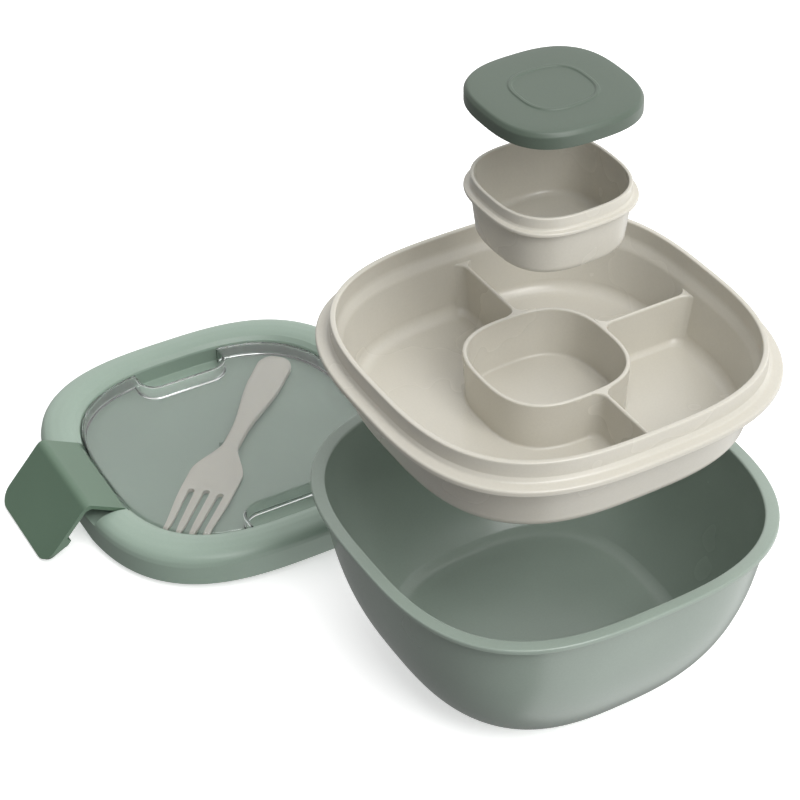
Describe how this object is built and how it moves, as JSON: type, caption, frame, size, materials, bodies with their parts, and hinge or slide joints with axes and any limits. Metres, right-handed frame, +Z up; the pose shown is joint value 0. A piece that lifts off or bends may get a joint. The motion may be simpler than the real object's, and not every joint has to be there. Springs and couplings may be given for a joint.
{
  "type": "snap lid food container",
  "caption": "Rounded square salad container: deep bowl, divided tray with centre well, lidded sauce cup, and a latched lid with a clear cover over a fork.",
  "frame": {"origin": "centre of the flat base of the bowl", "axes": "+Z up along the bowl's axis; X and Y along the bowl's sides; the lid lies toward -X and the latches are on the lid's -Y and +Y sides"},
  "size_m": [0.3771, 0.2806, 0.2935],
  "materials": {
    "bowl": "satin sage green polypropylene",
    "tray": "satin cream polypropylene",
    "sauce_cup": "satin cream polypropylene",
    "sauce_cup_lid": "matte dark green plastic",
    "lid_frame": "satin light sage plastic",
    "lid_gasket": "translucent silicone",
    "latch_front": "satin green plastic",
    "latch_back": "satin green plastic",
    "latch_pin_front": "plastic pin",
    "latch_pin_back": "plastic pin",
    "fork_cover": "clear polished plastic",
    "fork": "satin beige plastic"
  },
  "bodies": {
    "bowl_body": {"bowl": "bowl"},
    "tray_body": {"tray": "tray"},
    "cup_body": {"sauce_cup": "sauce_cup"},
    "cup_lid_body": {"sauce_cup_lid": "sauce_cup_lid"},
    "lid_body": {"lid_frame": "lid_frame", "lid_gasket": "lid_gasket", "latch_pin_front": "latch_pin_front", "latch_pin_back": "latch_pin_back"},
    "cover_body": {"fork_cover": "fork_cover"},
    "fork_body": {"fork": "fork"},
    "latch_front_body": {"latch_front": "latch_front"},
    "latch_back_body": {"latch_back": "latch_back"}
  },
  "joints": [
    {"name": "tray_lift", "type": "slide", "parent": "bowl_body", "child": "tray_body", "axis": [0, 0, 1], "range_m": [-0.0783, 0]},
    {"name": "cup_lift", "type": "slide", "parent": "tray_body", "child": "cup_body", "axis": [0, 0, 1], "range_m": [-0.0837, 0]},
    {"name": "cup_lid_lift", "type": "slide", "parent": "cup_body", "child": "cup_lid_body", "axis": [0, 0, 1], "range_m": [-0.039, 0]},
    {"name": "lid_lift", "type": "slide", "parent": "bowl_body", "child": "lid_body", "axis": [-0.5, 0, 0.866], "range_m": [0, 0.08]},
    {"name": "cover_lift", "type": "slide", "parent": "lid_body", "child": "cover_body", "axis": [0, 0, 1], "range_m": [0, 0.05]},
    {"name": "fork_lift", "type": "slide", "parent": "lid_body", "child": "fork_body", "axis": [0, 0, 1], "range_m": [0, 0.02]},
    {"name": "latch_front_hinge", "type": "hinge", "parent": "lid_body", "child": "latch_front_body", "pos_m": [-0.19002, -0.14109, 0.01809], "axis": [-0.9998, 0.0175, 0], "range_deg": [-36, 62]},
    {"name": "latch_back_hinge", "type": "hinge", "parent": "lid_body", "child": "latch_back_body", "pos_m": [-0.18738, 0.01029, 0.01809], "axis": [0.9998, -0.0175, 0], "range_deg": [-36, 62]}
  ],
  "couplings": [
    {"joint": "fork_lift", "follows": "cover_lift", "ratio": 0.4}
  ]
}
